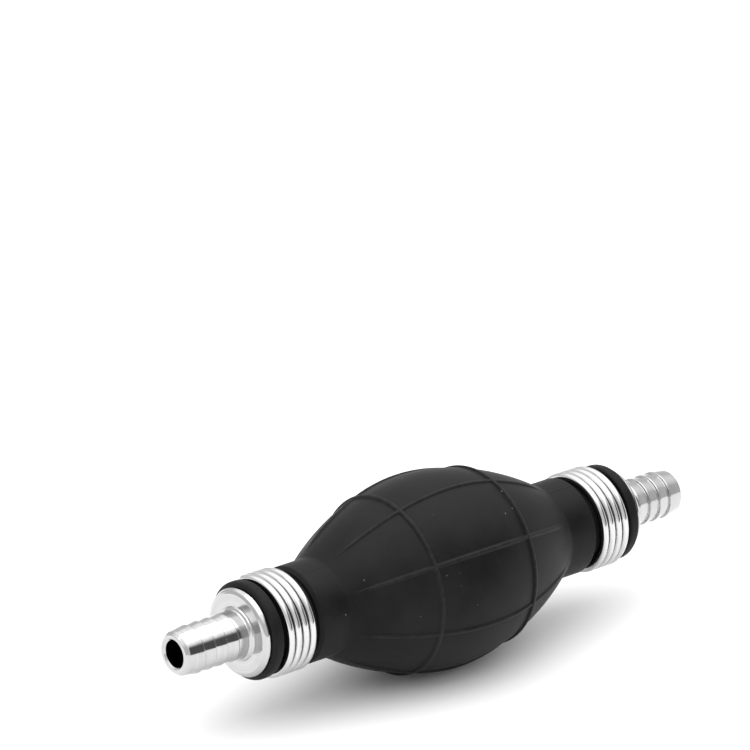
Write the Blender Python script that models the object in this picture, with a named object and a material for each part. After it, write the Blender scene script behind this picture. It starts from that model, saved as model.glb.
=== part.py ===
"""Siphon bulb pump: a ribbed rubber bulb lying on its belly, with a turned aluminium hose barb
clamped into each neck by a wire coil and a sprung ball valve inside each barb.

The pump's axis runs along X. Liquid enters at -X and leaves at +X. Stations are distances from the
bulb's middle along that axis, so both ends are described by the same numbers."""

import math

import bmesh
import bpy
from mathutils import Matrix, Vector

MM = 0.001
GAP = 0.3 * MM  # between a piece and a neighbour cut to fit it
REST_GAP = 0.2 * MM  # between a piece and a face it rests on

# Bulb
BELLY_RADIUS = 21.8 * MM
BELLY_MIDDLE_ARC = 47 * MM  # lengthwise radius between the ring ribs
BELLY_FLANK_ARC = 72 * MM  # lengthwise radius from a ring rib to the neck
BELLY_HALF_LENGTH = 32.4 * MM
WALL = 2.5 * MM
NECK_RADIUS = 11.05 * MM
NECK_END = 39.8 * MM
NECK_BORE_RADIUS = 8 * MM
CLAMP_SEAT = (40.7 * MM, 50.4 * MM)
CLAMP_SEAT_RADIUS = 9.5 * MM
SHOULDER_STEP = 0.7 * MM  # height of the square step at the foot of the shoulder
LIP_RADIUS = 11 * MM
LIP_ROUND = 0.7 * MM
LIP_TURNS = [math.radians(turn) for turn in (0, 45, 90)]  # corners of the lip's rounded edges
BULB_END = 53.2 * MM
CORNER_STEP = 0.1 * MM  # lengthwise, between the two rings of points that make a sharp corner

# Ribs moulded on the belly
RIB_COUNT = 8
RIB_HEIGHT = 0.5 * MM
RIB_HALF_ANGLE = math.radians(2.2)
RIB_LEAN = math.radians(16)  # first rib, from straight up towards the front, -Y
RIB_FADE = (27 * MM, 31 * MM)
RING_RIB_STATION = 13.5 * MM
RING_RIB_HALF_WIDTH = 0.7 * MM
SECTOR = 2 * math.pi / RIB_COUNT
SECTOR_ANGLES = [math.radians(a) for a in (0, 2.2, 13, 24, 34, 42.8)]

# The part of the belly that a hand presses in, on each side
PRESS_HALF_LENGTH = 12.1 * MM
PRESS_HALF_HEIGHT = 13.5 * MM

# Fitting
TAIL_START = 35 * MM
TAIL_RADIUS = 7.3 * MM
TAIL_CHAMFER = 0.5 * MM
TAIL_BARB_RADIUS = 7.65 * MM
TAIL_BARBS = (44.5 * MM, 48.5 * MM)
TAIL_BARB_LENGTH = 2.2 * MM
CHAMBER_RADIUS = 5.6 * MM
CHAMBER_LEAD = 0.2 * MM  # how much wider the chamber is at its mouth
CHAMBER_END = 51.5 * MM
RING_GROOVE = (36 * MM, 36.9 * MM)
RING_GROOVE_RADIUS = 6.15 * MM
FLANGE = (53.4 * MM, 54.9 * MM)
FLANGE_RADIUS = 9.9 * MM
FLANGE_CHAMFER = 0.3 * MM
FLANGE_ROUND = 1.05 * MM
STEP_RADIUS = 6.1 * MM
STEP_HEIGHT = 0.35 * MM
COLLAR_RADIUS = 5.35 * MM
COLLAR_END = 58.4 * MM
BARB_PITCH = 3.08 * MM
BARB_COUNT = 4
BARB_RIDGE_RADIUS = 5.45 * MM
BARB_ROOT_RADIUS = 5.05 * MM
TIP = 72.2 * MM
TIP_RADIUS = 4.95 * MM
TIP_ROUND = 0.8 * MM
ROUND_MIDDLE = 1 - math.cos(math.radians(45))  # where the middle of a rounded edge lies
BORE_RADIUS = 3.05 * MM
BORE_CHAMFER = 0.35 * MM

# Wire clamp
CLAMP_WIRE = 1.94 * MM
CLAMP_OUTER_RADIUS = 11.65 * MM
CLAMP_TURNS = 3.93
CLAMP_PITCH = 2 * MM
CLAMP_STEPS = 24  # straight lengths in a turn
CLAMP_SIDES = 8
OUTLET_CLAMP_TURN = math.radians(340)  # where the wire's cut ends face, on each neck
INLET_CLAMP_TURN = math.radians(140)

# Valves
VALVE_CLEARANCE = 0.15 * MM
VALVE_RADIUS = CHAMBER_RADIUS - VALVE_CLEARANCE
SEAT_HOLE_RADIUS = 2.9 * MM
SEAT_THICKNESS = 1.5 * MM
SEAT_CHAMFER = 0.4 * MM
BALL_RADIUS = 4 * MM
BALL_STANDOFF = 2.5 * MM  # ball's centre from the seat's face
SPRING_WIRE = 0.5 * MM
SPRING_RADIUS = 3.6 * MM
SPRING_TURNS = 5
SPRING_STEPS = 12
SPRING_SIDES = 6
SPRING_STANDOFF = 2.45 * MM  # spring's end turn from the ball's centre
SPRING_SEAT_GAP = 0.35 * MM  # spring's end turn from the face behind it
SNAP_RING_INNER_RADIUS = 4.9 * MM
SNAP_RING_OUTER_RADIUS = 6 * MM
SNAP_RING_GAP_ANGLE = math.radians(50)
SNAP_RING_CLEARANCE = 0.1 * MM
SNAP_RING = (RING_GROOVE[0] + SNAP_RING_CLEARANCE, RING_GROOVE[1] - SNAP_RING_CLEARANCE)
WASHER = (37.1 * MM, 37.9 * MM)
WASHER_HOLE_RADIUS = 3.2 * MM
CUP_DISC = (37.1 * MM, 38.1 * MM)
CUP_BOSS_RADIUS = 3 * MM
CUP_BOSS_END = 39.7 * MM
CUP_BOSS_TAPER = 0.2 * MM
CUP_HOLE_RADIUS = 0.85 * MM
CUP_HOLE_CIRCLE = 4.25 * MM
CUP_HOLES = 8
CUP_CENTRE_HOLE_RADIUS = 1.6 * MM

# How finely round faces are divided
FITTING_SEGMENTS = 24
CAVITY_SEGMENTS = 32
CAVITY_STEPS = 4
SMALL_SEGMENTS = 20
BALL_SEGMENTS = (20, 12)
HOLE_SEGMENTS = 10
SHARP_ANGLE = math.radians(35)
SLOPE_STEP = 0.1 * MM  # over which the belly's slope is measured
CUT_THROUGH = 2 * MM  # how far a cutter reaches past the face it opens

INLET = Matrix.Rotation(math.pi, 4, "Z")
OUTLET = Matrix.Identity(4)


def clear_scene():
    for item in list(bpy.data.objects):
        bpy.data.objects.remove(item)


def make_material(name, colour, roughness, metallic):
    result = bpy.data.materials.new(name)
    result.use_nodes = True
    shader = result.node_tree.nodes["Principled BSDF"]
    shader.inputs["Base Color"].default_value = (*colour, 1)
    shader.inputs["Roughness"].default_value = roughness
    shader.inputs["Metallic"].default_value = metallic
    return result


def place(item, parent, matrix=OUTLET):
    item.parent = parent
    item.matrix_parent_inverse = Matrix.Identity(4)
    item.matrix_basis = matrix
    return item


def make_object(name, shape, surface):
    """An object of the bmesh shape, smooth on its round faces."""
    bmesh.ops.recalc_face_normals(shape, faces=shape.faces)
    mesh = bpy.data.meshes.new(name)
    shape.to_mesh(mesh)
    shape.free()
    mesh.materials.append(surface)
    mesh.shade_smooth()
    mesh.set_sharp_from_angle(angle=SHARP_ANGLE)
    item = bpy.data.objects.new(name, mesh)
    bpy.context.collection.objects.link(item)
    return item


def share_mesh(name, original):
    item = bpy.data.objects.new(name, original.data)
    bpy.context.collection.objects.link(item)
    return item


def hide_cutter(cutter):
    cutter.hide_render = True
    cutter.display_type = "WIRE"
    return cutter


def add_boolean(item, cutter, operation):
    step = item.modifiers.new(cutter.name, "BOOLEAN")
    step.object = cutter
    step.operation = operation
    step.solver = "EXACT"


def turned(outline, segments):
    """The closed outline of (station, radius) points, turned about X."""
    shape = bmesh.new()
    corners = [shape.verts.new((station, 0, radius)) for station, radius in outline]
    edges = [shape.edges.new((a, b)) for a, b in zip(corners, corners[1:] + corners[:1])]
    bmesh.ops.spin(
        shape,
        geom=corners + edges,
        cent=(0, 0, 0),
        axis=(1, 0, 0),
        angle=2 * math.pi,
        steps=segments,
        use_merge=True,
    )
    return shape


def lofted(stations, radius_at, angles):
    """A closed solid of one ring of points at each station, with flat ends.

    Angles count from +Z towards -Y."""
    shape = bmesh.new()
    rings = []
    for station in stations:
        ring = []
        for angle in angles:
            radius = radius_at(station, angle)
            ring.append(shape.verts.new((station, -radius * math.sin(angle), radius * math.cos(angle))))
        rings.append(ring)
    shape.faces.new(rings[0])
    shape.faces.new(rings[-1])
    for ring, following in zip(rings, rings[1:]):
        for i in range(len(angles)):
            j = (i + 1) % len(angles)
            shape.faces.new((ring[i], ring[j], following[j], following[i]))
    return shape


def block(low, high):
    shape = bmesh.new()
    bmesh.ops.create_cube(shape, size=1)
    size = Vector(high) - Vector(low)
    middle = (Vector(high) + Vector(low)) / 2
    matrix = Matrix.Translation(middle) @ Matrix.Diagonal((*size, 1))
    bmesh.ops.transform(shape, matrix=matrix, verts=shape.verts)
    return shape


def belly_radius(station):
    """The belly's outside without its ribs: an arc between the ring ribs, and a flatter one beyond
    that starts in line with it."""
    distance = abs(station)
    near = min(distance, RING_RIB_STATION) / BELLY_MIDDLE_ARC
    radius = BELLY_RADIUS - BELLY_MIDDLE_ARC * (1 - math.sqrt(1 - near * near))
    if distance > RING_RIB_STATION:
        far = near + (distance - RING_RIB_STATION) / BELLY_FLANK_ARC
        radius -= BELLY_FLANK_ARC * (math.sqrt(1 - near * near) - math.sqrt(1 - far * far))
    return radius


def cavity_radius(station):
    """The inside of the wall, measured square to the belly, down to the neck's bore."""
    slope = (belly_radius(abs(station) + SLOPE_STEP) - belly_radius(station)) / SLOPE_STEP
    return max(NECK_BORE_RADIUS, belly_radius(station) - WALL * math.hypot(1, slope))


def rib_height(station, angle):
    """How far the moulded ribs stand above the belly: lengthwise ribs that fade out before the
    necks, and two rings."""
    off_rib = abs((angle - RIB_LEAN + SECTOR / 2) % SECTOR - SECTOR / 2)
    fade = (RIB_FADE[1] - abs(station)) / (RIB_FADE[1] - RIB_FADE[0])
    lengthwise = max(0, 1 - off_rib / RIB_HALF_ANGLE) * max(0, min(1, fade))
    ring = max(0, 1 - abs(abs(station) - RING_RIB_STATION) / RING_RIB_HALF_WIDTH)
    return RIB_HEIGHT * max(lengthwise, ring)


def mirrored(half):
    return [-station for station in reversed(half)] + [0] + half


def belly_stations():
    """Where the belly's rings of points lie, from the middle to the neck."""
    ring = [RING_RIB_STATION + side * RING_RIB_HALF_WIDTH for side in (-1, 0, 1)]
    middle = [ring[0] / 2]
    flank = [ring[2] + (RIB_FADE[0] - ring[2]) * part / 3 for part in (1, 2, 3)]
    return middle + ring + flank + [RIB_FADE[1], BELLY_HALF_LENGTH]


def neck_outline():
    """(station, radius) points of the outside of a neck: shoulder, clamp seat and rounded lip."""
    lip_start = CLAMP_SEAT[1] + CORNER_STEP
    points = [
        (BELLY_HALF_LENGTH + CORNER_STEP, NECK_RADIUS),
        (NECK_END, NECK_RADIUS),
        (CLAMP_SEAT[0] - CORNER_STEP, CLAMP_SEAT_RADIUS + SHOULDER_STEP),
        (CLAMP_SEAT[0], CLAMP_SEAT_RADIUS),
        (CLAMP_SEAT[1], CLAMP_SEAT_RADIUS),
    ]
    corner = [(LIP_ROUND * (1 - math.cos(turn)), LIP_ROUND * (1 - math.sin(turn))) for turn in LIP_TURNS]
    points += [(lip_start + along, LIP_RADIUS - inward) for along, inward in corner]
    points += [(BULB_END - along, LIP_RADIUS - inward) for along, inward in reversed(corner)]
    return points


def bulb_shape():
    neck = dict(neck_outline())

    def radius_at(station, angle):
        if abs(station) in neck:
            return neck[abs(station)]
        return belly_radius(station) + rib_height(station, angle)

    half = belly_stations() + list(neck)
    angles = [RIB_LEAN + SECTOR * rib + a for rib in range(RIB_COUNT) for a in SECTOR_ANGLES]
    return lofted(mirrored(half), radius_at, angles)


def cavity_shape():
    half = [BELLY_HALF_LENGTH * (part + 1) / CAVITY_STEPS for part in range(CAVITY_STEPS)]
    half.append(BULB_END + CUT_THROUGH)
    angles = [2 * math.pi * i / CAVITY_SEGMENTS for i in range(CAVITY_SEGMENTS)]
    return lofted(mirrored(half), lambda station, angle: cavity_radius(station), angles)


def make_bulb(pump, rubber):
    """The bulb, with a window on each side that the press walls fill."""
    cavity = place(hide_cutter(make_object("cavity_cutter", cavity_shape(), rubber)), pump)
    bulb = place(make_object("bulb", bulb_shape(), rubber), pump)
    add_boolean(bulb, cavity, "DIFFERENCE")
    lean = Matrix.Rotation(RIB_LEAN, 4, "X")
    depth = 2 * BELLY_RADIUS
    press = Vector((PRESS_HALF_LENGTH, depth, PRESS_HALF_HEIGHT))
    opening = press + Vector((GAP, 0, GAP))
    window = hide_cutter(make_object("window_cutter", block(-opening, opening), rubber))
    add_boolean(bulb, place(window, pump, lean), "DIFFERENCE")
    for name, side in (("front_press_wall", -1), ("rear_press_wall", 1)):
        wall = place(make_object(name, bulb_shape(), rubber), pump)
        low, high = -press, press.copy()
        (low if side > 0 else high).y = 0
        keep = hide_cutter(make_object(name + "_cutter", block(low, high), rubber))
        add_boolean(wall, cavity, "DIFFERENCE")
        add_boolean(wall, place(keep, pump, lean), "INTERSECT")


def fitting_outline():
    """The outline of the turned fitting, from its tail in the neck to the tip of the hose barb and
    back along its bore."""
    points = [
        (TAIL_START, CHAMBER_RADIUS + CHAMBER_LEAD),
        (TAIL_START, TAIL_RADIUS - TAIL_CHAMFER),
        (TAIL_START + TAIL_CHAMFER, TAIL_RADIUS),
    ]
    for end in TAIL_BARBS:
        points += [(end - TAIL_BARB_LENGTH, TAIL_RADIUS), (end, TAIL_BARB_RADIUS), (end, TAIL_RADIUS)]
    points += [
        (FLANGE[0], TAIL_RADIUS),
        (FLANGE[0], FLANGE_RADIUS - FLANGE_CHAMFER),
        (FLANGE[0] + FLANGE_CHAMFER, FLANGE_RADIUS),
        (FLANGE[1] - FLANGE_ROUND, FLANGE_RADIUS),
        (FLANGE[1] - FLANGE_ROUND * ROUND_MIDDLE, FLANGE_RADIUS - FLANGE_ROUND * ROUND_MIDDLE),
        (FLANGE[1], FLANGE_RADIUS - FLANGE_ROUND),
        (FLANGE[1], STEP_RADIUS),
        (FLANGE[1] + STEP_HEIGHT, STEP_RADIUS - STEP_HEIGHT),
        (FLANGE[1] + 2 * STEP_HEIGHT, COLLAR_RADIUS),
    ]
    for barb in range(BARB_COUNT):
        start = COLLAR_END + barb * BARB_PITCH
        root = COLLAR_RADIUS if barb == 0 else BARB_ROOT_RADIUS
        points += [(start, root), (start, BARB_RIDGE_RADIUS)]
    points += [
        (TIP - TIP_ROUND, TIP_RADIUS),
        (TIP - ROUND_MIDDLE * TIP_ROUND, TIP_RADIUS - ROUND_MIDDLE * TIP_ROUND),
        (TIP, TIP_RADIUS - TIP_ROUND),
        (TIP, BORE_RADIUS + BORE_CHAMFER),
        (TIP - BORE_CHAMFER, BORE_RADIUS),
        (CHAMBER_END, BORE_RADIUS),
        (CHAMBER_END, CHAMBER_RADIUS),
        (RING_GROOVE[1], CHAMBER_RADIUS),
        (RING_GROOVE[1], RING_GROOVE_RADIUS),
        (RING_GROOVE[0], RING_GROOVE_RADIUS),
        (RING_GROOVE[0], CHAMBER_RADIUS),
    ]
    return points


def make_coil(name, radius, wire, sides, turns, steps, start, pitch, surface):
    """A round wire wound about X, right-handed, with its ends cut square."""
    curve = bpy.data.curves.new(name, "CURVE")
    curve.dimensions = "3D"
    curve.bevel_depth = wire / 2
    curve.bevel_resolution = sides // 2 - 2
    curve.use_fill_caps = True
    curve.materials.append(surface)
    count = round(turns * steps) + 1
    spline = curve.splines.new("POLY")
    spline.points.add(count - 1)
    for i, point in enumerate(spline.points):
        turn = turns * i / (count - 1)
        angle = 2 * math.pi * turn
        point.co = (start + pitch * turn, radius * math.cos(angle), radius * math.sin(angle), 1)
    item = bpy.data.objects.new(name, curve)
    bpy.context.collection.objects.link(item)
    return item


def ring_outline(low, high, inner, outer):
    """The outline of a plain flat ring."""
    return [(low, inner), (low, outer), (high, outer), (high, inner)]


def seat_outline(back, face):
    """A rubber seat: a flat ring with the hole's edge chamfered on the ball's side."""
    towards = math.copysign(SEAT_CHAMFER, face - back)
    return [
        (back, SEAT_HOLE_RADIUS),
        (back, VALVE_RADIUS),
        (face, VALVE_RADIUS),
        (face, SEAT_HOLE_RADIUS + SEAT_CHAMFER),
        (face - towards, SEAT_HOLE_RADIUS),
    ]


def snap_ring_shape():
    """A flat open ring, cut from the outline of its section."""
    shape = bmesh.new()
    corners = [
        shape.verts.new((station, 0, radius))
        for station, radius in ring_outline(*SNAP_RING, SNAP_RING_INNER_RADIUS, SNAP_RING_OUTER_RADIUS)
    ]
    section = shape.faces.new(corners)
    bmesh.ops.spin(
        shape,
        geom=[section],
        cent=(0, 0, 0),
        axis=(1, 0, 0),
        angle=2 * math.pi - SNAP_RING_GAP_ANGLE,
        steps=SMALL_SEGMENTS,
    )
    return shape


def cup_shape():
    """The inlet spring's seat: a disc with a hollow boss inside the spring."""
    return turned(
        [
            (CUP_DISC[0], CUP_CENTRE_HOLE_RADIUS),
            (CUP_DISC[0], VALVE_RADIUS),
            (CUP_DISC[1], VALVE_RADIUS),
            (CUP_DISC[1], CUP_BOSS_RADIUS),
            (CUP_BOSS_END, CUP_BOSS_RADIUS - CUP_BOSS_TAPER),
            (CUP_BOSS_END, CUP_CENTRE_HOLE_RADIUS),
        ],
        SMALL_SEGMENTS,
    )


def cup_holes_shape():
    """The flow holes through the disc, as a ring of short round bars."""
    shape = bmesh.new()
    middle = (CUP_DISC[0] + CUP_DISC[1]) / 2
    for hole in range(CUP_HOLES):
        angle = 2 * math.pi * (hole + 0.5) / CUP_HOLES
        spot = (middle, CUP_HOLE_CIRCLE * math.cos(angle), CUP_HOLE_CIRCLE * math.sin(angle))
        matrix = Matrix.Translation(spot) @ Matrix.Rotation(math.pi / 2, 4, "Y")
        bmesh.ops.create_cone(
            shape,
            cap_ends=True,
            segments=HOLE_SEGMENTS,
            radius1=CUP_HOLE_RADIUS,
            radius2=CUP_HOLE_RADIUS,
            depth=CUT_THROUGH,
            matrix=matrix,
        )
    return shape


def make_ball(name, pump, end, station, surface):
    shape = bmesh.new()
    around, across = BALL_SEGMENTS
    bmesh.ops.create_uvsphere(shape, u_segments=around, v_segments=across, radius=BALL_RADIUS)
    ball = make_object(name, shape, surface)
    return place(ball, pump, end @ Matrix.Translation((station, 0, 0)))


def make_spring(name, pump, end, stations, surface):
    """A coil spring between two stations of its end turns."""
    pitch = (stations[1] - stations[0]) / SPRING_TURNS
    coil = make_coil(
        name,
        SPRING_RADIUS,
        SPRING_WIRE,
        SPRING_SIDES,
        SPRING_TURNS,
        SPRING_STEPS,
        stations[0],
        pitch,
        surface,
    )
    return place(coil, pump, end)


def make_inlet_valve(pump, surfaces):
    """Opens towards the bulb: seat at the back of the chamber, then ball, spring, cup and snap ring."""
    seat_back = CHAMBER_END - REST_GAP
    seat_face = seat_back - SEAT_THICKNESS
    ball = seat_face - BALL_STANDOFF
    seat = turned(seat_outline(seat_back, seat_face), SMALL_SEGMENTS)
    place(make_object("inlet_valve_seat", seat, surfaces["nitrile"]), pump, INLET)
    make_ball("inlet_valve_ball", pump, INLET, ball, surfaces["ball_steel"])
    stations = (CUP_DISC[1] + SPRING_SEAT_GAP, ball - SPRING_STANDOFF)
    make_spring("inlet_valve_spring", pump, INLET, stations, surfaces["spring_steel"])
    cup = place(make_object("inlet_spring_cup", cup_shape(), surfaces["white_plastic"]), pump, INLET)
    holes = hide_cutter(make_object("cup_holes_cutter", cup_holes_shape(), surfaces["white_plastic"]))
    add_boolean(cup, place(holes, pump, INLET), "DIFFERENCE")
    place(make_object("inlet_snap_ring", snap_ring_shape(), surfaces["spring_steel"]), pump, INLET)


def make_outlet_valve(pump, surfaces):
    """Opens away from the bulb: snap ring, washer and seat at the chamber's mouth, then ball and
    spring."""
    seat_back = WASHER[1] + REST_GAP
    seat_face = seat_back + SEAT_THICKNESS
    ball = seat_face + BALL_STANDOFF
    place(share_mesh("outlet_snap_ring", bpy.data.objects["inlet_snap_ring"]), pump, OUTLET)
    washer = turned(ring_outline(*WASHER, WASHER_HOLE_RADIUS, VALVE_RADIUS), SMALL_SEGMENTS)
    place(make_object("outlet_seat_washer", washer, surfaces["ball_steel"]), pump, OUTLET)
    seat = turned(seat_outline(seat_back, seat_face), SMALL_SEGMENTS)
    place(make_object("outlet_valve_seat", seat, surfaces["nitrile"]), pump, OUTLET)
    make_ball("outlet_valve_ball", pump, OUTLET, ball, surfaces["ball_steel"])
    stations = (ball + SPRING_STANDOFF, CHAMBER_END - SPRING_SEAT_GAP)
    make_spring("outlet_valve_spring", pump, OUTLET, stations, surfaces["spring_steel"])


def make_fittings(pump, surfaces):
    fitting = make_object("outlet_fitting", turned(fitting_outline(), FITTING_SEGMENTS), surfaces["aluminium"])
    place(fitting, pump, OUTLET)
    place(share_mesh("inlet_fitting", fitting), pump, INLET)


def make_clamps(pump, surfaces):
    length = CLAMP_TURNS * CLAMP_PITCH
    start = (CLAMP_SEAT[0] + CLAMP_SEAT[1] - length) / 2
    radius = CLAMP_OUTER_RADIUS - CLAMP_WIRE / 2
    clamp = make_coil(
        "outlet_clamp",
        radius,
        CLAMP_WIRE,
        CLAMP_SIDES,
        CLAMP_TURNS,
        CLAMP_STEPS,
        start,
        CLAMP_PITCH,
        surfaces["clamp_wire"],
    )
    place(clamp, pump, OUTLET @ Matrix.Rotation(OUTLET_CLAMP_TURN, 4, "X"))
    place(share_mesh("inlet_clamp", clamp), pump, INLET @ Matrix.Rotation(INLET_CLAMP_TURN, 4, "X"))


def main():
    clear_scene()
    surfaces = {
        "rubber": make_material("rubber", (0.02, 0.02, 0.021), 0.62, 0),
        "aluminium": make_material("aluminium", (0.82, 0.82, 0.83), 0.3, 1),
        "clamp_wire": make_material("clamp_wire", (0.78, 0.78, 0.79), 0.18, 1),
        "nitrile": make_material("nitrile", (0.03, 0.03, 0.03), 0.5, 0),
        "ball_steel": make_material("ball_steel", (0.7, 0.7, 0.71), 0.15, 1),
        "spring_steel": make_material("spring_steel", (0.55, 0.55, 0.56), 0.3, 1),
        "white_plastic": make_material("white_plastic", (0.8, 0.79, 0.75), 0.45, 0),
    }
    pump = bpy.data.objects.new("pump_axis", None)
    bpy.context.collection.objects.link(pump)
    make_bulb(pump, surfaces["rubber"])
    make_fittings(pump, surfaces)
    make_clamps(pump, surfaces)
    make_inlet_valve(pump, surfaces)
    make_outlet_valve(pump, surfaces)
    belly = bpy.data.objects["bulb"].data
    pump.location.z = -min(vertex.co.z for vertex in belly.vertices)


main()
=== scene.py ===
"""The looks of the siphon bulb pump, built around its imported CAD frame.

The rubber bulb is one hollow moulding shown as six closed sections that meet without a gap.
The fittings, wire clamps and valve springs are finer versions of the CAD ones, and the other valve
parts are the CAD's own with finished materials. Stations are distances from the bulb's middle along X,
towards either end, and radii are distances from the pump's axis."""

import math

import bpy
import numpy as np
from mathutils import Matrix, Vector


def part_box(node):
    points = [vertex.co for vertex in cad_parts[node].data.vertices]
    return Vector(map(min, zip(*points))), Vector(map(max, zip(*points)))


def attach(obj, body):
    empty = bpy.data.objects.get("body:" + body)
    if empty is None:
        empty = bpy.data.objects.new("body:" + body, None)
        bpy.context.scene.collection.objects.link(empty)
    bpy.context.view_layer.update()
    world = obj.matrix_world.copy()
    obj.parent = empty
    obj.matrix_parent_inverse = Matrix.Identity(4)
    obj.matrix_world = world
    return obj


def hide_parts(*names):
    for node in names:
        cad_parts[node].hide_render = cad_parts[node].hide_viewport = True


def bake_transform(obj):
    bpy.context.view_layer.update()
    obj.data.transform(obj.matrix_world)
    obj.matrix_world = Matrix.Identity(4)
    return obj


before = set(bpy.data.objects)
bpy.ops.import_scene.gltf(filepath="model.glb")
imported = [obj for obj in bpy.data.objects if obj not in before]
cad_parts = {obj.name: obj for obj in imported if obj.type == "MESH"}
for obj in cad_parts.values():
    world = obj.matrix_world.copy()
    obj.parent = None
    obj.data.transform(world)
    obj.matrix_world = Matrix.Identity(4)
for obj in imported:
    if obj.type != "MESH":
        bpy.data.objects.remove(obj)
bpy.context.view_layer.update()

MM = 0.001

low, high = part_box("outlet_fitting")
AXIS_HEIGHT = (low.z + high.z) / 2
AXIS = np.array((0, 0, AXIS_HEIGHT))
CORNER_STEP = 15  # degrees from point to point of a rounded corner

# Bulb
BELLY_RADIUS = 21.8 * MM
BELLY_MIDDLE_ARC = 47 * MM
BELLY_FLANK_ARC = 72 * MM
BELLY_HALF_LENGTH = 32.4 * MM
BELLY_END = 31.3 * MM  # where the belly begins to round into the neck
BELLY_ROUND = 1.6 * MM
NECK_RADIUS = 11.05 * MM
NECK_BORE_RADIUS = 8 * MM
WALL = 2.5 * MM
SHOULDER = (39.5 * MM, 40.2 * MM)  # the neck's slope down to the clamp's seat
SHOULDER_RADIUS = 10.3 * MM
SEAT = (40.4 * MM, 50.25 * MM)
SEAT_RADIUS = 9.62 * MM
SEAT_ROUND = 0.2 * MM
LIP_START = 50.45 * MM
LIP_RADIUS = 11 * MM
LIP_ROUND = 1.05 * MM
BULB_END = 53.2 * MM
RIB_LEAN = math.radians(16)  # first rib, from straight up towards -Y
RIBS = 8
SECTOR = 2 * math.pi / RIBS
RIB_HEIGHT = 0.4 * MM
RIB_HALF_WIDTH = 0.55 * MM
RIB_FADE = (25 * MM, 31.5 * MM)
RIB_END_WIDTH = 0.55  # share of its width that a rib still has where it has faded
RING_STATION = 13.5 * MM
RING_HEIGHT = 0.55 * MM
RING_HALF_WIDTH = 0.6 * MM
FLASH_HEIGHT = 0.07 * MM  # parting line of the mould, on the first rib and the one opposite
FLASH_HALF_WIDTH = 0.22 * MM
FLASH_START = (22 * MM, 26 * MM)
FLASH_GAP = (39 * MM, 39.6 * MM, 50.5 * MM, 51 * MM)  # none on the clamp's seat
RIB_COLUMNS = 12
RIB_SHARE = math.radians(4.4)  # angle on each side of a rib with close columns
FLAT_COLUMNS = 17
GRID_STEP = 1.1 * MM  # longest step along the bulb
SAME_STATION = 0.001 * MM  # points closer than this become one

# How the bulb dents: outward distances at which a wall starts to move and moves fully
PRESS_START = 4 * MM
PRESS_FULL = 22 * MM
FLANK_LEAN = math.radians(22)  # how the flanks' share falls off towards the necks

# Fitting
FLANGE = (53.4 * MM, 54.9 * MM)
FLANGE_RADIUS = 9.9 * MM
FLANGE_FACE_RADIUS = 8.8 * MM
FLANGE_ROUND = (1 * MM, 0.3 * MM)  # where its rounded rim starts and bends, back from its face
FLANGE_DROP = 0.35 * MM  # how far the rim has come in where it bends
STEP_RADIUS = 6.1 * MM
STEP_LENGTH = 0.3 * MM
STEP_TAPER = 0.15 * MM
STEP_EDGE = 0.1 * MM
COLLAR_RADIUS = 5.35 * MM
COLLAR_END = 58.4 * MM
BARB_PITCH = 3.08 * MM
BARBS = 4
RIDGE_RADIUS = 5.45 * MM
RIDGE_ROUND = 0.22 * MM
RIDGE_RISE = 0.1 * MM  # half the length of the step up to a ridge
ROOT_RADIUS = 5 * MM
TIP = 72.2 * MM
TIP_RADIUS = 4.9 * MM
TIP_FACE_RADIUS = 4.2 * MM
TIP_ROUND = 0.75 * MM
BORE_RADIUS = 3.05 * MM
BORE_CHAMFER = 0.35 * MM
TAIL_START = 35 * MM
TAIL_RADIUS = 7.3 * MM
TAIL_BARB_RADIUS = 7.65 * MM
TAIL_BARBS = (44.5 * MM, 48.5 * MM)
TAIL_BARB_LENGTH = 2.2 * MM
TAIL_BARB_BACK = 0.02 * MM
TAIL_CHAMFER = 0.5 * MM
CHAMBER_RADIUS = 5.6 * MM
CHAMBER_LEAD = 0.2 * MM
CHAMBER_END = 51.5 * MM
RING_GROOVE = (36 * MM, 36.9 * MM)
RING_GROOVE_RADIUS = 6.15 * MM
EDGE = 0.12 * MM  # rounding of the fitting's plain edges
FINE_EDGE = 0.05 * MM
FITTING_SEGMENTS = 144

# Wire clamp
WIRE = 1.68 * MM
CLAMP_RADIUS = 11.6 * MM - WIRE / 2
CLAMP_TURNS = 3.93
CLAMP_PITCH = 2 * MM
CLAMP_START = {"inlet": 41.3 * MM, "outlet": 41.55 * MM}
COIL_STEPS = 90  # per turn
WIRE_SIDES = 24
NIPPED_SHARE = 0.93  # the wire's nipped end, as a share of its radius
NIPPED_LENGTH = 0.02 * MM
OUTLET_CLAMP_TURN = math.radians(340)
INLET_CLAMP_TURN = math.radians(140)

# Valve springs, between the ends that the CAD gives them
SPRING_WIRE = 0.5 * MM
SPRING_RADIUS = 3.6 * MM
SPRING_TURNS = 5

# Camera and light
CAMERA_AZIMUTH = math.radians(-40.78)
CAMERA_ELEVATION = math.radians(20.57)
SENSOR_WIDTH = 36
CAMERA_LENS = 295.5
PUMP_IN_VIEW = (11.89 * MM, 42.76 * MM, 1350.6 * MM)  # bulb's middle: to the right, below and ahead
FLOOR_SIZE = 12
FLOOR_GAP = 0.1 * MM


# ---------------------------------------------------------------- shapes


def smooth_rise(low, high, value):
    """0 up to low, 1 from high on, and a smooth rise between."""
    share = np.clip((value - low) / (high - low), 0, 1)
    return share * share * (3 - 2 * share)


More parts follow.
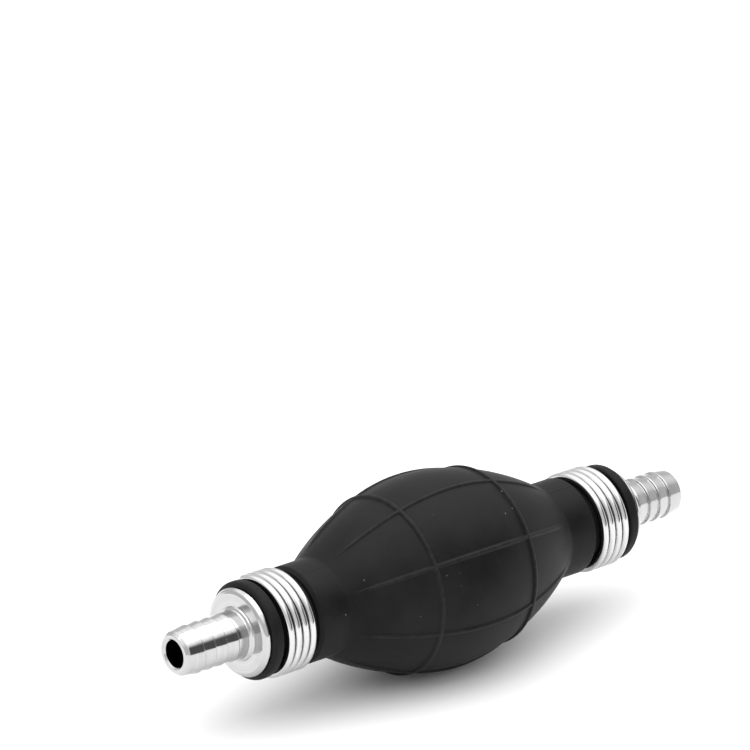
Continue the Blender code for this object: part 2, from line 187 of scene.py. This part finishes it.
def rounded(points):
    """Points along a closed outline of (station, radius, rounding) corners, each with its normal.

    Every corner becomes an arc, as far as its neighbours leave room. The outline keeps the solid on its
    right. A point is (station, radius, the normal's share along X, its share away from the axis)."""
    result = []
    count = len(points)
    for i, (x, y, size) in enumerate(points):
        corner = np.array((x, y))
        before = np.array(points[i - 1][:2]) - corner
        after = np.array(points[(i + 1) % count][:2]) - corner
        reach = 0.45 * min(np.hypot(*before), np.hypot(*after))
        before /= np.hypot(*before)
        after /= np.hypot(*after)
        bend = math.acos(np.clip(-before @ after, -1, 1))
        cut = min(size * math.tan(bend / 2), reach)
        radius = cut / math.tan(bend / 2)
        middle = before + after
        middle /= np.hypot(*middle)
        centre = corner + middle * radius / math.cos(bend / 2)
        first = corner + before * cut - centre
        last = corner + after * cut - centre
        turn = first[0] * last[1] - first[1] * last[0]
        steps = max(2, round(math.degrees(bend) / CORNER_STEP))
        for step in range(steps + 1):
            angle = math.copysign(bend * step / steps, turn)
            c, s = math.cos(angle), math.sin(angle)
            spoke = np.array((first[0] * c - first[1] * s, first[0] * s + first[1] * c))
            place = centre + spoke
            normal = spoke / radius if turn < 0 else -spoke / radius
            result.append((*place, *normal))
    return result


def link(name, mesh, surface):
    """A new object of the mesh with one material."""
    item = bpy.data.objects.new(name, mesh)
    bpy.context.scene.collection.objects.link(item)
    mesh.materials.append(surface)
    return item


def make_mesh(name, points, faces, normals):
    """A smooth mesh with the given normal at each corner of each face."""
    mesh = bpy.data.meshes.new(name)
    mesh.from_pydata([tuple(p) for p in points], [], faces)
    mesh.update()
    mesh.shade_smooth()
    mesh.normals_split_custom_set(normals)
    return mesh


def placed(points, end):
    """Points around the X axis moved to the pump's axis, turned to the inlet's end where asked."""
    points = np.array(points, float)
    if end == "inlet":
        points = points * np.array((-1, -1, 1))
    return points + AXIS


def turned(name, outline, segments, end, surface):
    """The rounded outline turned about the pump's axis."""
    sweep = np.arange(segments) * 2 * math.pi / segments
    rows = []
    row_normals = []
    for x, y, normal_x, normal_y in outline:
        rows.append(np.stack((np.full(segments, x), y * np.cos(sweep), y * np.sin(sweep)), 1))
        spread = (np.full(segments, normal_x), normal_y * np.cos(sweep), normal_y * np.sin(sweep))
        row_normals.append(np.stack(spread, 1))
    points = np.concatenate(rows)
    spokes = np.concatenate(row_normals)
    faces = []
    count = len(outline)
    for i in range(count):
        for j in range(segments):
            here, across = i * segments, (i + 1) % count * segments
            step = (j + 1) % segments
            faces.append((here + j, here + step, across + step, across + j))
    if end == "inlet":
        spokes = spokes * np.array((-1, -1, 1))
    normals = [tuple(spokes[corner]) for face in faces for corner in face]
    return link(name, make_mesh(name, placed(points, end), faces, normals), surface)


# ---------------------------------------------------------------- bulb


def belly_radius(station):
    """One arc between the ring ribs and a flatter one beyond, in line with it."""
    distance = np.abs(station)
    near = np.minimum(distance, RING_STATION) / BELLY_MIDDLE_ARC
    radius = BELLY_RADIUS - BELLY_MIDDLE_ARC * (1 - np.sqrt(1 - near * near))
    far = near + np.maximum(distance - RING_STATION, 0) / BELLY_FLANK_ARC
    return radius - BELLY_FLANK_ARC * (np.sqrt(1 - near * near) - np.sqrt(1 - far * far))


def half_profile():
    """(station, radius) points of the bulb's outside without ribs, from the middle to one lip."""
    middle = np.arange(0, 12.6, 1.05) * MM
    ring = np.arange(12.7, 14.35, 0.1) * MM  # close steps across the ring rib
    flank = np.arange(15, 31.1, 0.8) * MM
    points = [(s, belly_radius(s)) for s in np.concatenate((middle, ring, flank))]
    corners = [
        (BELLY_END, belly_radius(BELLY_END), 0),
        (BELLY_HALF_LENGTH, NECK_RADIUS, BELLY_ROUND),
        (SHOULDER[0], NECK_RADIUS, 0.5 * MM),
        (SHOULDER[1], SHOULDER_RADIUS, 0.25 * MM),
        (SEAT[0], SEAT_RADIUS, SEAT_ROUND),
        (SEAT[1], SEAT_RADIUS, SEAT_ROUND),
        (LIP_START, LIP_RADIUS, LIP_ROUND),
        (BULB_END, LIP_RADIUS, LIP_ROUND),
        (BULB_END, NECK_BORE_RADIUS, 0),
    ]
    above_bore = NECK_BORE_RADIUS + 0.2 * MM
    points += [(x, y) for x, y, _, _ in rounded(corners) if x > BELLY_END and y > above_bore]
    dense = [points[0]]
    for x, y in points[1:]:
        last_x, last_y = dense[-1]
        steps = math.ceil((x - last_x) / GRID_STEP)
        for share in np.arange(1, steps + 1) / steps:
            dense.append((last_x + (x - last_x) * share, last_y + (y - last_y) * share))
    ahead = [x for x, _ in dense[1:]] + [1]
    return [point for point, after in zip(dense, ahead) if after - point[0] > SAME_STATION]


def ridge(distance, half_width):
    """A rounded ridge's height at a distance from its crest, as a share."""
    share = np.clip(1 - (distance / half_width) ** 2, 0, 1)
    return share * (1.6 - 0.6 * share)


def bulb_grids():
    """The whole bulb's stations and angles, its outer and inner points, and how high its ridges are."""
    half = half_profile()
    stations = np.array([-s for s, _ in reversed(half[1:])] + [s for s, _ in half])
    radii = np.array([r for _, r in reversed(half[1:])] + [r for _, r in half])
    near_rib = np.linspace(0, RIB_SHARE, RIB_COLUMNS)
    between = np.linspace(RIB_SHARE, SECTOR - RIB_SHARE, FLAT_COLUMNS)[1:-1]
    one = np.concatenate((near_rib, between, SECTOR - near_rib[:0:-1]))
    angles = np.concatenate([one + SECTOR * rib for rib in range(RIBS)] + [[2 * math.pi]])
    s, a = np.meshgrid(stations, angles, indexing="ij")
    r = np.repeat(radii[:, None], len(angles), 1)
    off_rib = np.abs((a + SECTOR / 2) % SECTOR - SECTOR / 2) * r
    fade = 1 - smooth_rise(*RIB_FADE, np.abs(s))
    rib_width = RIB_HALF_WIDTH * (RIB_END_WIDTH + (1 - RIB_END_WIDTH) * fade)
    lengthwise = RIB_HEIGHT * ridge(off_rib, rib_width) * fade
    ring = RING_HEIGHT * ridge(np.abs(np.abs(s) - RING_STATION), RING_HALF_WIDTH)
    off_flash = np.abs((a + math.pi / 2) % math.pi - math.pi / 2) * r
    on_seat = smooth_rise(*FLASH_GAP[:2], np.abs(s)) * (1 - smooth_rise(*FLASH_GAP[2:], np.abs(s)))
    flash = FLASH_HEIGHT * ridge(off_flash, FLASH_HALF_WIDTH) * smooth_rise(*FLASH_START, np.abs(s))
    flash = flash * (1 - on_seat)
    height = np.maximum(np.maximum(lengthwise, ring), flash)
    outside = on_axis(s, r + height, a)
    step = 0.05 * MM
    slope = (belly_radius(np.abs(s) + step) - belly_radius(s)) / step
    in_belly = np.minimum(np.abs(s), BELLY_HALF_LENGTH)
    inside_radius = np.maximum(NECK_BORE_RADIUS, belly_radius(in_belly) - WALL * np.hypot(1, slope))
    inside_radius = np.where(np.abs(s) > BELLY_HALF_LENGTH, NECK_BORE_RADIUS, inside_radius)
    inside = on_axis(s, inside_radius, a)
    return stations, angles, outside, inside, height / RING_HEIGHT


def on_axis(station, radius, angle):
    """Points from station, radius and angle. Angles count from the first rib, over the front."""
    turn = angle + RIB_LEAN
    return np.stack((station, -radius * np.sin(turn), AXIS_HEIGHT + radius * np.cos(turn)), -1)


def grid_normals(grid):
    """Smooth normals, pointing away from the axis, of a grid of rings that close at their ends."""
    along = np.empty_like(grid)
    along[1:-1] = grid[2:] - grid[:-2]
    along[0] = grid[1] - grid[0]
    along[-1] = grid[-1] - grid[-2]
    around = np.empty_like(grid)
    around[:, 1:-1] = grid[:, 2:] - grid[:, :-2]
    around[:, 0] = grid[:, 1] - grid[:, -2]
    around[:, -1] = around[:, 0]
    normals = np.cross(around, along)
    normals /= np.linalg.norm(normals, axis=2, keepdims=True)
    away = grid - AXIS
    away[..., 0] = 0
    flip = np.sign((normals * away).sum(2, keepdims=True))
    return normals * flip


def make_section(name, surface, grids, rows, columns):
    """A closed piece of the bulb's wall between two stations and two angles."""
    outside, inside, outside_normals, inside_normals, height = grids
    rows = slice(rows[0], rows[1] + 1)
    columns = slice(columns[0], columns[1] + 1)
    outer = outside[rows, columns]
    tall, wide = outer.shape[:2]
    count = tall * wide
    points = np.concatenate((outer.reshape(-1, 3), inside[rows, columns].reshape(-1, 3)))
    outer_spokes = outside_normals[rows, columns].reshape(-1, 3)
    spokes = np.concatenate((outer_spokes, inside_normals[rows, columns].reshape(-1, 3)))
    index = np.arange(count).reshape(tall, wide)
    skins = []
    strips = []
    for i in range(tall - 1):
        for j in range(wide - 1):
            quad = (index[i, j], index[i + 1, j], index[i + 1, j + 1], index[i, j + 1])
            skins.append(quad)
            skins.append(tuple(corner + count for corner in reversed(quad)))
    for i in range(tall - 1):
        strips.append((index[i, 0], index[i, 0] + count, index[i + 1, 0] + count, index[i + 1, 0]))
        strips.append((index[i, -1], index[i + 1, -1], index[i + 1, -1] + count, index[i, -1] + count))
    for j in range(wide - 1):
        strips.append((index[0, j], index[0, j + 1], index[0, j + 1] + count, index[0, j] + count))
        strips.append((index[-1, j], index[-1, j] + count, index[-1, j + 1] + count, index[-1, j + 1]))
    first = points[list(skins[0])]
    normal = np.cross(first[1] - first[0], first[2] - first[1])
    if normal @ spokes[skins[0][0]] < 0:
        skins = [quad[::-1] for quad in skins]
        strips = [quad[::-1] for quad in strips]
    normals = [tuple(spokes[corner]) for quad in skins for corner in quad]
    for quad in strips:
        corners = points[list(quad)]
        flat = np.cross(corners[2] - corners[0], corners[3] - corners[1])
        flat /= np.linalg.norm(flat)
        normals += [tuple(flat)] * 4
    faces = [tuple(int(corner) for corner in quad) for quad in skins + strips]
    mesh = make_mesh(name, points, faces, normals)
    crest = mesh.attributes.new("crest", "FLOAT", "POINT")
    share = height[rows, columns].reshape(-1)
    crest.data.foreach_set("value", np.concatenate((share, np.zeros(count))).astype(np.float32))
    return link(name, mesh, surface)


def make_bulb(surface):
    """The bulb's six sections, front and rear, each between two stations."""
    stations, angles, outside, inside, height = bulb_grids()
    grids = (outside, inside, grid_normals(outside), -grid_normals(inside), height)
    ends = (-BULB_END, -RING_STATION, RING_STATION, BULB_END)
    rows = [int(np.argmin(np.abs(stations - s))) for s in ends]
    half_turn = (len(angles) - 1) // 2
    parts = (("inlet_end", 0, -1), ("middle", 1, 0), ("outlet_end", 2, 1))
    for side, columns, sign in (("front", (0, half_turn), 1), ("rear", (half_turn, 2 * half_turn), -1)):
        for part, first, end in parts:
            span = (rows[first], rows[first + 1])
            piece = make_section(f"bulb_{side}_{part}", surface, grids, span, columns)
            reach = PRESS_FULL - PRESS_START
            if end:
                reach *= math.cos(FLANK_LEAN)
            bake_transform(piece)
            if part == "middle":
                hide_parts("bulb", side + "_press_wall")
            else:
                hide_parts("bulb")


# ---------------------------------------------------------------- fittings and clamps


def fitting_outline():
    """(station, radius, rounding) corners of the fitting, out from tail to tip and back along its bore."""
    corners = [
        (TAIL_START, CHAMBER_RADIUS + CHAMBER_LEAD, EDGE),
        (TAIL_START, TAIL_RADIUS - TAIL_CHAMFER, EDGE),
        (TAIL_START + TAIL_CHAMFER, TAIL_RADIUS, EDGE),
    ]
    for end in TAIL_BARBS:
        corners += [
            (end - TAIL_BARB_LENGTH, TAIL_RADIUS, EDGE),
            (end, TAIL_BARB_RADIUS, FINE_EDGE),
            (end + TAIL_BARB_BACK, TAIL_RADIUS, FINE_EDGE),
        ]
    corners += [
        (FLANGE[0], TAIL_RADIUS, EDGE),
        (FLANGE[0], FLANGE_RADIUS, 0.3 * MM),
        (FLANGE[1] - FLANGE_ROUND[0], FLANGE_RADIUS, 0.5 * MM),
        (FLANGE[1] - FLANGE_ROUND[1], FLANGE_RADIUS - FLANGE_DROP, 0.8 * MM),
        (FLANGE[1], FLANGE_FACE_RADIUS, 0.3 * MM),
        (FLANGE[1], STEP_RADIUS, STEP_EDGE),
        (FLANGE[1] + STEP_LENGTH, STEP_RADIUS - STEP_TAPER, STEP_EDGE),
        (FLANGE[1] + 2 * STEP_LENGTH, COLLAR_RADIUS, 0.5 * MM),
    ]
    for barb in range(BARBS):
        start = COLLAR_END + barb * BARB_PITCH
        root = COLLAR_RADIUS if barb == 0 else ROOT_RADIUS
        corners += [
            (start - RIDGE_RISE, root, RIDGE_RISE),
            (start + RIDGE_RISE, RIDGE_RADIUS, RIDGE_ROUND),
        ]
    corners += [
        (TIP - TIP_ROUND, TIP_RADIUS, 0.5 * MM),
        (TIP, TIP_FACE_RADIUS, 0.25 * MM),
        (TIP, BORE_RADIUS + BORE_CHAMFER, 0.1 * MM),
        (TIP - BORE_CHAMFER, BORE_RADIUS, 0.15 * MM),
        (CHAMBER_END, BORE_RADIUS, EDGE),
        (CHAMBER_END, CHAMBER_RADIUS, EDGE),
        (RING_GROOVE[1], CHAMBER_RADIUS, FINE_EDGE),
        (RING_GROOVE[1], RING_GROOVE_RADIUS, FINE_EDGE),
        (RING_GROOVE[0], RING_GROOVE_RADIUS, FINE_EDGE),
        (RING_GROOVE[0], CHAMBER_RADIUS, FINE_EDGE),
    ]
    return corners


def wound_wire(name, end, start, pitch, turn_count, coil_radius, wire, turn, surface):
    """A round wire wound right-handed about the axis, with square-cut ends."""
    count = round(turn_count * COIL_STEPS) + 1
    turns = np.linspace(0, turn_count, count)
    angle = 2 * math.pi * turns + turn
    radial = np.stack((np.zeros(count), np.cos(angle), np.sin(angle)), 1)
    middle = radial * coil_radius
    middle[:, 0] = start + pitch * turns
    forward = np.full(count, pitch / (2 * math.pi))
    lead = np.stack((forward, -coil_radius * np.sin(angle), coil_radius * np.cos(angle)), 1)
    lead /= np.linalg.norm(lead, axis=1, keepdims=True)
    side = np.cross(lead, radial)
    rings = [(0, NIPPED_SHARE, -NIPPED_LENGTH)]
    rings += [(i, 1, 0) for i in range(count)]
    rings += [(count - 1, NIPPED_SHARE, NIPPED_LENGTH)]
    around = np.arange(WIRE_SIDES) * 2 * math.pi / WIRE_SIDES
    points = []
    spokes = []
    for i, share, push in rings:
        spoke = np.cos(around)[:, None] * radial[i] + np.sin(around)[:, None] * side[i]
        points.append(middle[i] + lead[i] * push + spoke * wire / 2 * share)
        spokes.append(spoke)
    points = np.concatenate(points)
    spokes = np.concatenate(spokes)
    faces = []
    for ring in range(len(rings) - 1):
        for j in range(WIRE_SIDES):
            here = ring * WIRE_SIDES
            step = (j + 1) % WIRE_SIDES
            faces.append((here + j, here + step, here + WIRE_SIDES + step, here + WIRE_SIDES + j))
    if end == "inlet":
        spokes = spokes * np.array((-1, -1, 1))
        lead = lead * np.array((-1, -1, 1))
    normals = [tuple(spokes[corner]) for face in faces for corner in face]
    last = (len(rings) - 1) * WIRE_SIDES
    faces.append(tuple(range(WIRE_SIDES - 1, -1, -1)))
    normals += [tuple(-lead[0])] * WIRE_SIDES
    faces.append(tuple(last + j for j in range(WIRE_SIDES)))
    normals += [tuple(lead[-1])] * WIRE_SIDES
    return link(name, make_mesh(name, placed(points, end), faces, normals), surface)


def make_metalwork(surfaces):
    """The two barb fittings and the two wire clamps."""
    outline = rounded(fitting_outline())
    for end, turn in (("inlet", INLET_CLAMP_TURN), ("outlet", OUTLET_CLAMP_TURN)):
        fitting = turned(end + "_barb_fitting", outline, FITTING_SEGMENTS, end, surfaces["aluminium"])
        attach(fitting, "pump")
        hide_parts(end + "_fitting")
        size = (CLAMP_START[end], CLAMP_PITCH, CLAMP_TURNS, CLAMP_RADIUS, WIRE)
        clamp = wound_wire(end + "_wire_clamp", end, *size, turn, surfaces["clamp_wire"])
        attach(clamp, "pump")
        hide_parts(end + "_clamp")


def make_springs(surface):
    """The valve springs, wound between the ends that the CAD gives them."""
    for end in ("inlet", "outlet"):
        low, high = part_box(end + "_valve_spring")
        fixed = high.x - SPRING_WIRE / 2
        moving = low.x + SPRING_WIRE / 2
        near, far = sorted((abs(fixed), abs(moving)))
        size = (near, (far - near) / SPRING_TURNS, SPRING_TURNS, SPRING_RADIUS, SPRING_WIRE)
        spring = wound_wire(end + "_coil_spring", end, *size, 0, surface)
        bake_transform(spring)
        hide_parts(end + "_valve_spring")


# ---------------------------------------------------------------- materials


class Tree:
    """A material's or world's nodes. A value that is a socket is linked, any other is set."""

    def __init__(self, owner):
        owner.use_nodes = True
        self.tree = owner.node_tree
        self.tree.nodes.clear()

    def add(self, kind, inputs=None, **settings):
        made = self.tree.nodes.new(kind)
        for name, value in settings.items():
            setattr(made, name, value)
        for name, value in (inputs or {}).items():
            if isinstance(value, bpy.types.NodeSocket):
                self.tree.links.new(value, made.inputs[name])
            else:
                made.inputs[name].default_value = value
        return made

    def noise(self, vector, scale, detail=2.0, roughness=0.5):
        inputs = {"Vector": vector, "Scale": scale, "Detail": detail, "Roughness": roughness}
        return self.add("ShaderNodeTexNoise", inputs).outputs["Fac"]

    def spread(self, value, low, high, to_low, to_high):
        inputs = {"Value": value, "From Min": low, "From Max": high, "To Min": to_low, "To Max": to_high}
        return self.add("ShaderNodeMapRange", inputs).outputs["Result"]

    def maths(self, operation, first, second=0.0):
        return self.add("ShaderNodeMath", {0: first, 1: second}, operation=operation).outputs[0]

    def mix(self, share, first, second):
        made = self.add("ShaderNodeMix", data_type="RGBA")
        for socket, value in ((0, share), (6, first), (7, second)):
            if isinstance(value, bpy.types.NodeSocket):
                self.tree.links.new(value, made.inputs[socket])
            else:
                made.inputs[socket].default_value = value
        return made.outputs[2]

    def bump(self, height, distance, strength=1.0, normal=None):
        inputs = {"Height": height, "Distance": distance, "Strength": strength}
        if normal is not None:
            inputs["Normal"] = normal
        return self.add("ShaderNodeBump", inputs).outputs["Normal"]

    def place(self):
        """Where a point lies on the CAD, in metres."""
        return self.add("ShaderNodeTexCoord").outputs["Object"]

    def around_axis(self):
        """(station, distance from the pump's axis), which is the same all the way round a turned piece."""
        parts = self.add("ShaderNodeSeparateXYZ", {0: self.place()})
        height = self.maths("SUBTRACT", parts.outputs["Z"], AXIS_HEIGHT)
        squares = self.maths(
            "ADD",
            self.maths("MULTIPLY", parts.outputs["Y"], parts.outputs["Y"]),
            self.maths("MULTIPLY", height, height),
        )
        made = self.add("ShaderNodeCombineXYZ", {"X": parts.outputs["X"], "Y": self.maths("SQRT", squares)})
        return made.outputs[0]

    def finish(self, inputs):
        shader = self.add("ShaderNodeBsdfPrincipled", inputs)
        self.add("ShaderNodeOutputMaterial", {"Surface": shader.outputs[0]})


def grey(value, warmth=0.0):
    """A grey's RGBA, a little reddish where it is warm."""
    return (value * (1 + warmth), value, value * (1 - warmth), 1)


def rubber(name, dark, light, roughness, gloss, dust):
    """Matte moulded rubber: blotchy, finely grained, with a painted highlight that lightens its ridges'
    crests and, if asked, dusty.
    """
    made = bpy.data.materials.new(name)
    tree = Tree(made)
    place = tree.place()
    blotch = tree.noise(place, 90, 4, 0.6)
    colour = tree.mix(tree.spread(blotch, 0.35, 0.68, 0, 1), grey(dark), grey(light))
    crest = tree.add("ShaderNodeAttribute", attribute_name="crest").outputs["Fac"]
    # Painted highlight: the ribs' crests are mixed towards a pale grey where light would catch them.
    crest_highlight = tree.maths("MULTIPLY", crest, tree.spread(tree.noise(place, 700, 3), 0.35, 0.7, 0.1, 0.75))
    colour = tree.mix(crest_highlight, colour, grey(light * 2.3))
    if dust:
        cells = tree.add("ShaderNodeTexVoronoi", {"Vector": place, "Scale": 300.0})
        chosen = tree.add("ShaderNodeSeparateColor", {0: cells.outputs["Color"]}).outputs[0]
        speck = tree.spread(cells.outputs["Distance"], 0.034, 0.052, 1, 0)
        speck = tree.maths("MULTIPLY", speck, tree.spread(chosen, 0.3, 0.8, 0, 1))
        colour = tree.mix(tree.maths("MULTIPLY", speck, 0.6), colour, grey(0.3))
    rough = tree.spread(blotch, 0.3, 0.7, roughness - 0.05, roughness + 0.06)
    normal = tree.bump(tree.noise(place, 45, 2), 0.0006, 0.35)
    normal = tree.bump(tree.noise(place, 2300, 3, 0.6), 0.00003, 0.6, normal)
    tree.finish({"Base Color": colour, "Roughness": rough, "Normal": normal, "Specular IOR Level": gloss})
    return made


def turned_metal(name, dark, light, roughness, line_depth):
    """Metal with the fine rings that a lathe or a drawing die leaves round the axis."""
    made = bpy.data.materials.new(name)
    tree = Tree(made)
    section = tree.around_axis()
    lines = tree.noise(section, 5200, 3, 0.65)
    bands = tree.noise(section, 900, 2, 0.5)
    smudge = tree.noise(tree.place(), 260, 4, 0.6)
    colour = tree.mix(tree.spread(lines, 0.3, 0.7, 0, 1), grey(dark), grey(light))
    colour = tree.mix(tree.spread(smudge, 0.5, 0.8, 0, 0.3), colour, grey(dark * 0.85))
    rough = tree.maths(
        "ADD",
        tree.spread(bands, 0.3, 0.7, roughness * 0.75, roughness * 1.2),
        tree.spread(smudge, 0.45, 0.8, 0, 0.05),
    )
    normal = tree.bump(bands, line_depth * 3, 0.5)
    normal = tree.bump(lines, line_depth, 0.8, normal)
    tree.finish({"Base Color": colour, "Metallic": 1.0, "Roughness": rough, "Normal": normal})
    return made


def polished_steel(name, tone, roughness):
    """Ground steel with faint marks in every direction."""
    made = bpy.data.materials.new(name)
    tree = Tree(made)
    place = tree.place()
    marks = tree.noise(place, 3000, 4, 0.7)
    colour = tree.mix(tree.spread(marks, 0.35, 0.7, 0, 1), grey(tone * 0.88), grey(tone))
    rough = tree.spread(tree.noise(place, 600, 3), 0.3, 0.7, roughness * 0.8, roughness * 1.4)
    normal = tree.bump(marks, 0.000004, 0.6)
    tree.finish({"Base Color": colour, "Metallic": 1.0, "Roughness": rough, "Normal": normal})
    return made


def moulded_plastic(name, tone):
    """Natural acetal, slightly uneven and finely grained."""
    made = bpy.data.materials.new(name)
    tree = Tree(made)
    place = tree.place()
    uneven = tree.noise(place, 500, 3)
    colour = tree.mix(uneven, grey(tone * 0.93, 0.02), grey(tone, 0.01))
    rough = tree.spread(uneven, 0.3, 0.7, 0.38, 0.5)
    normal = tree.bump(tree.noise(place, 4000, 2), 0.00001, 0.6)
    tree.finish({"Base Color": colour, "Roughness": rough, "Normal": normal})
    return made


def finish_valves(surfaces):
    """The valve parts keep their CAD shapes and get finished materials."""
    finishes = {
        "inlet_valve_seat": "nitrile",
        "inlet_valve_ball": "ball_steel",
        "inlet_spring_cup": "white_plastic",
        "inlet_snap_ring": "spring_steel",
        "outlet_valve_seat": "nitrile",
        "outlet_valve_ball": "ball_steel",
        "outlet_seat_washer": "ball_steel",
        "outlet_snap_ring": "spring_steel",
    }
    for name, finish in finishes.items():
        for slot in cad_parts[name].material_slots:
            slot.link = "OBJECT"
            slot.material = surfaces[finish]


# ---------------------------------------------------------------- studio


def make_floor():
    """A wide pale floor just under the pump."""
    made = bpy.data.materials.new("studio_floor")
    tree = Tree(made)
    tone = tree.mix(tree.noise(tree.place(), 30, 2), grey(0.88), grey(0.9))
    tree.finish({"Base Color": tone, "Roughness": 0.9, "Specular IOR Level": 0.1})
    mesh = bpy.data.meshes.new("studio_floor")
    half = FLOOR_SIZE / 2
    corners = [(-half, -half, 0), (half, -half, 0), (half, half, 0), (-half, half, 0)]
    mesh.from_pydata(corners, [], [(0, 1, 2, 3)])
    floor = link("studio_floor", mesh, made)
    floor.location.z = -FLOOR_GAP


def camera_axes():
    """The camera's right, its up and the way opposite to its view."""
    right = Vector((math.cos(CAMERA_AZIMUTH), math.sin(CAMERA_AZIMUTH), 0))
    level = Vector((-math.sin(CAMERA_AZIMUTH), math.cos(CAMERA_AZIMUTH), 0))
    ahead = level * math.cos(CAMERA_ELEVATION) - Vector((0, 0, math.sin(CAMERA_ELEVATION)))
    return right, right.cross(ahead), -ahead


def make_camera():
    right, up, back = camera_axes()
    across, down, away = PUMP_IN_VIEW
    data = bpy.data.cameras.new("camera")
    data.sensor_width = SENSOR_WIDTH
    data.lens = CAMERA_LENS
    data.clip_start = 0.01
    data.clip_end = 100
    camera = bpy.data.objects.new("camera", data)
    bpy.context.scene.collection.objects.link(camera)
    place = Vector(AXIS) - right * across + up * down + back * away
    turn = Matrix((right, up, back)).transposed().to_4x4()
    camera.matrix_world = Matrix.Translation(place) @ turn
    bpy.context.scene.camera = camera


def add_softbox(name, azimuth, elevation, distance, size, power):
    """An area light that faces the pump. Azimuth and elevation, in degrees, are where it stands."""
    a, e = math.radians(azimuth), math.radians(elevation)
    back = Vector((math.sin(a) * math.cos(e), -math.cos(a) * math.cos(e), math.sin(e)))
    data = bpy.data.lights.new(name, "AREA")
    data.shape = "RECTANGLE"
    data.size, data.size_y = size
    data.energy = power
    light = bpy.data.objects.new(name, data)
    bpy.context.scene.collection.objects.link(light)
    light.location = back * distance
    light.rotation_mode = "QUATERNION"
    light.rotation_quaternion = back.to_track_quat("Z", "Y")


def make_world():
    """A white studio, brightest overhead, with a dark side to the right that only the metal mirrors."""
    world = bpy.data.worlds.new("studio")
    bpy.context.scene.world = world
    tree = Tree(world)
    way = tree.add("ShaderNodeTexCoord").outputs["Generated"]
    parts = tree.add("ShaderNodeSeparateXYZ", {0: way})
    front = tree.spread(parts.outputs["Y"], -0.45, -0.15, 1, 0)
    right = tree.maths(
        "MULTIPLY",
        tree.spread(parts.outputs["X"], 0.05, 0.25, 0, 1),
        tree.spread(parts.outputs["X"], 0.74, 0.86, 1, 0),
    )
    under_lights = tree.spread(parts.outputs["Z"], 0.5, 0.68, 1, 0)
    dark = tree.maths("MULTIPLY", tree.maths("MULTIPLY", front, right), under_lights)
    above = tree.spread(parts.outputs["Z"], 0.45, 0.7, 0.8, 1.5)
    ray = tree.add("ShaderNodeLightPath").outputs
    mirrored = tree.maths("MULTIPLY", dark, tree.maths("SUBTRACT", 1.0, ray["Is Diffuse Ray"]))
    light = tree.maths("MULTIPLY", above, tree.spread(mirrored, 0, 1, 1, 0.14))
    light = tree.maths("MAXIMUM", light, ray["Is Camera Ray"])
    background = tree.add("ShaderNodeBackground", {"Color": (1, 1, 1, 1), "Strength": light})
    tree.add("ShaderNodeOutputWorld", {"Surface": background.outputs[0]})


def make_studio():
    make_floor()
    make_camera()
    make_world()
    add_softbox("softbox_top", azimuth=0, elevation=84, distance=0.8, size=(1.4, 0.9), power=4.0)
    bpy.context.scene.view_settings.view_transform = "Standard"


surfaces = {
    "bulb_rubber": rubber("bulb_rubber", 0.0025, 0.009, 0.5, 0.15, True),
    "aluminium": turned_metal("aluminium", 0.46, 0.6, 0.08, 0.000006),
    "clamp_wire": turned_metal("clamp_wire", 0.6, 0.74, 0.08, 0.0000008),
    "nitrile": rubber("nitrile", 0.02, 0.03, 0.5, 0.4, False),
    "ball_steel": polished_steel("ball_steel", 0.75, 0.14),
    "spring_steel": turned_metal("spring_steel", 0.5, 0.62, 0.3, 0.000004),
    "white_plastic": moulded_plastic("white_plastic", 0.8),
}
make_bulb(surfaces["bulb_rubber"])
make_metalwork(surfaces)
make_springs(surfaces["spring_steel"])
finish_valves(surfaces)
make_studio()
